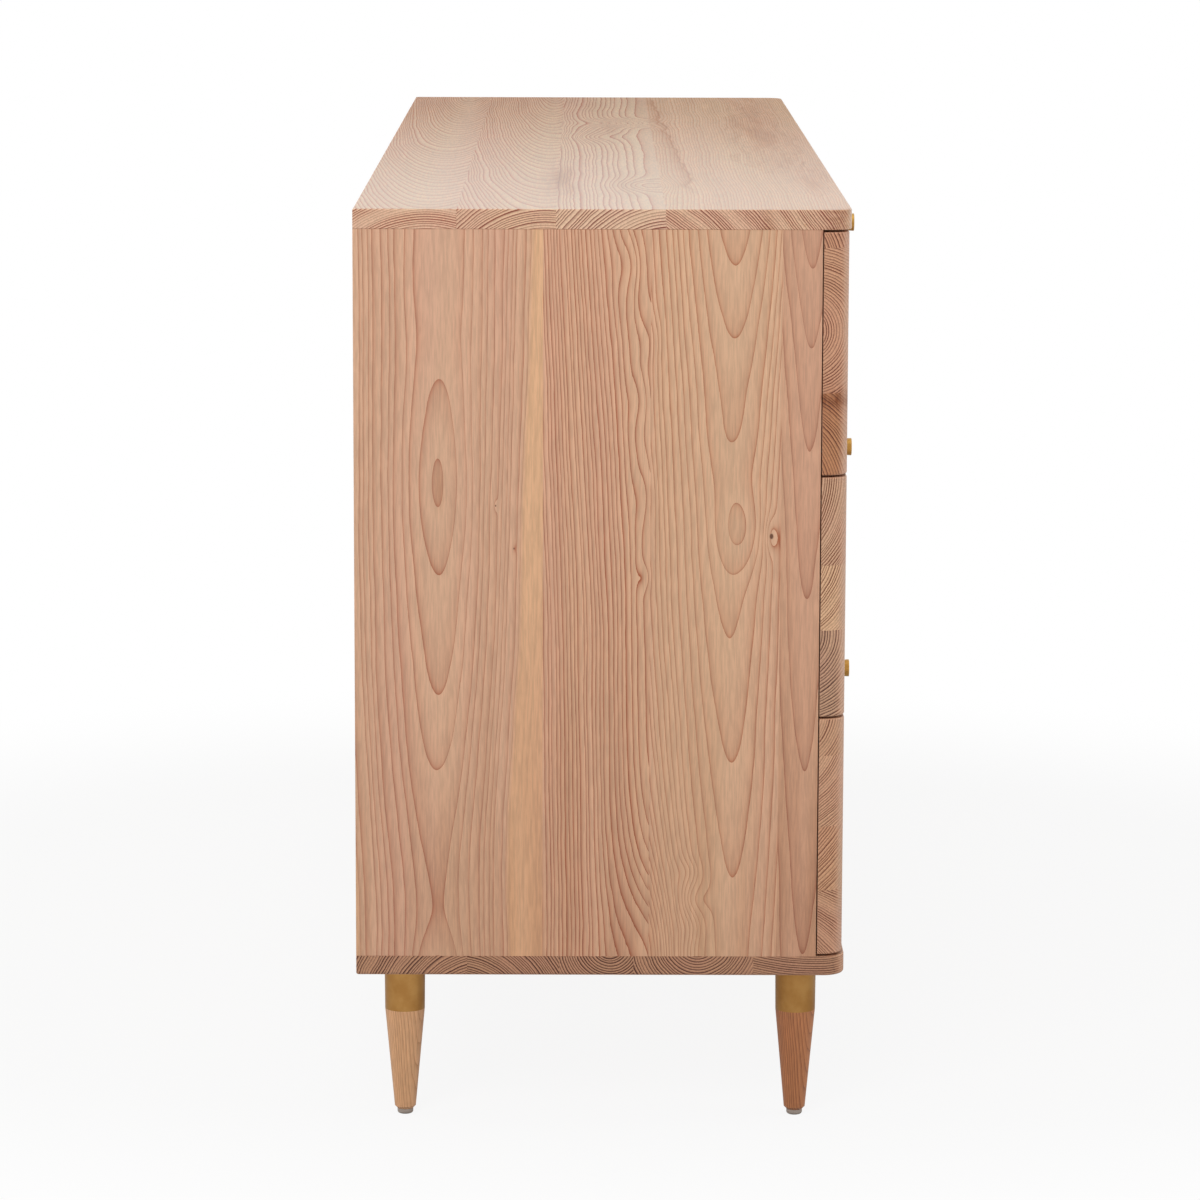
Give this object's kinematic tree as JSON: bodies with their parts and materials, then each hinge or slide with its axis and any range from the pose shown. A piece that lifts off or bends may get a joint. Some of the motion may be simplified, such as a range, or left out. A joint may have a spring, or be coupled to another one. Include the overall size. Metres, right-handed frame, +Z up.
{
  "type": "dresser",
  "caption": "Long low chest of drawers in light solid wood, with rounded front corners, round brass knobs and tapered round legs in brass ferrules.",
  "frame": {"origin": "on the floor, under the middle of the overall length and of the overall depth, knobs included", "axes": "+X along the length, to the right for someone facing the drawers; -Y towards that person; +Z up"},
  "size_m": [1.676, 0.482, 0.864],
  "materials": {
    "wood": "satin clear lacquer on solid softwood with strong growth rings",
    "box_wood": "pale sanded solid wood",
    "plywood": "veneered plywood",
    "brass": "satin brushed",
    "steel": "bright zinc plate",
    "glide": "grey nylon",
    "bumper": "soft clear"
  },
  "bodies": {
    "case": {"top_board": "wood", "bottom_board": "wood", "side_panel_left": "wood", "side_panel_right": "wood", "centre_divider": "wood", "back_panel": "plywood", "case_dowels": "box_wood", "back_screws": "steel", "front_bumpers": "bumper", "leg_front_left": "wood", "leg_front_right": "wood", "leg_rear_left": "wood", "leg_rear_right": "wood", "ferrule_front_left": "brass", "ferrule_front_right": "brass", "ferrule_rear_left": "brass", "ferrule_rear_right": "brass", "foot_glides": "glide", "leg_bolts": "steel", "leg_inserts": "steel", "case_rails_left": "steel", "case_rails_right": "steel", "rail_screws": "steel"},
    "drawer_left_top": {"drawer_front_left_top": "wood", "drawer_box_left_top": "box_wood", "drawer_bottom_left_top": "plywood", "knob_left_top": "brass", "drawer_rails_left_top": "steel"},
    "slide_left_top": {"middle_rails_left_top": "steel"},
    "drawer_left_middle": {"drawer_front_left_middle": "wood", "drawer_box_left_middle": "box_wood", "drawer_bottom_left_middle": "plywood", "knob_left_middle": "brass", "drawer_rails_left_middle": "steel"},
    "slide_left_middle": {"middle_rails_left_middle": "steel"},
    "drawer_left_bottom": {"drawer_front_left_bottom": "wood", "drawer_box_left_bottom": "box_wood", "drawer_bottom_left_bottom": "plywood", "knob_left_bottom": "brass", "drawer_rails_left_bottom": "steel"},
    "slide_left_bottom": {"middle_rails_left_bottom": "steel"},
    "drawer_right_top": {"drawer_front_right_top": "wood", "drawer_box_right_top": "box_wood", "drawer_bottom_right_top": "plywood", "knob_right_top": "brass", "drawer_rails_right_top": "steel"},
    "slide_right_top": {"middle_rails_right_top": "steel"},
    "drawer_right_middle": {"drawer_front_right_middle": "wood", "drawer_box_right_middle": "box_wood", "drawer_bottom_right_middle": "plywood", "knob_right_middle": "brass", "drawer_rails_right_middle": "steel"},
    "slide_right_middle": {"middle_rails_right_middle": "steel"},
    "drawer_right_bottom": {"drawer_front_right_bottom": "wood", "drawer_box_right_bottom": "box_wood", "drawer_bottom_right_bottom": "plywood", "knob_right_bottom": "brass", "drawer_rails_right_bottom": "steel"},
    "slide_right_bottom": {"middle_rails_right_bottom": "steel"}
  },
  "joints": [
    {"name": "pull_left_top", "type": "slide", "parent": "case", "child": "drawer_left_top", "axis": [0, -1, 0], "range_m": [0, 0.4]},
    {"name": "follow_left_top", "type": "slide", "parent": "case", "child": "slide_left_top", "axis": [0, -1, 0], "range_m": [0, 0.2]},
    {"name": "pull_left_middle", "type": "slide", "parent": "case", "child": "drawer_left_middle", "axis": [0, -1, 0], "range_m": [0, 0.4]},
    {"name": "follow_left_middle", "type": "slide", "parent": "case", "child": "slide_left_middle", "axis": [0, -1, 0], "range_m": [0, 0.2]},
    {"name": "pull_left_bottom", "type": "slide", "parent": "case", "child": "drawer_left_bottom", "axis": [0, -1, 0], "range_m": [0, 0.4]},
    {"name": "follow_left_bottom", "type": "slide", "parent": "case", "child": "slide_left_bottom", "axis": [0, -1, 0], "range_m": [0, 0.2]},
    {"name": "pull_right_top", "type": "slide", "parent": "case", "child": "drawer_right_top", "axis": [0, -1, 0], "range_m": [0, 0.4]},
    {"name": "follow_right_top", "type": "slide", "parent": "case", "child": "slide_right_top", "axis": [0, -1, 0], "range_m": [0, 0.2]},
    {"name": "pull_right_middle", "type": "slide", "parent": "case", "child": "drawer_right_middle", "axis": [0, -1, 0], "range_m": [0, 0.4]},
    {"name": "follow_right_middle", "type": "slide", "parent": "case", "child": "slide_right_middle", "axis": [0, -1, 0], "range_m": [0, 0.2]},
    {"name": "pull_right_bottom", "type": "slide", "parent": "case", "child": "drawer_right_bottom", "axis": [0, -1, 0], "range_m": [0, 0.4]},
    {"name": "follow_right_bottom", "type": "slide", "parent": "case", "child": "slide_right_bottom", "axis": [0, -1, 0], "range_m": [0, 0.2]}
  ],
  "couplings": [
    {"joint": "follow_left_top", "follows": "pull_left_top", "ratio": 0.5},
    {"joint": "follow_left_middle", "follows": "pull_left_middle", "ratio": 0.5},
    {"joint": "follow_left_bottom", "follows": "pull_left_bottom", "ratio": 0.5},
    {"joint": "follow_right_top", "follows": "pull_right_top", "ratio": 0.5},
    {"joint": "follow_right_middle", "follows": "pull_right_middle", "ratio": 0.5},
    {"joint": "follow_right_bottom", "follows": "pull_right_bottom", "ratio": 0.5}
  ]
}
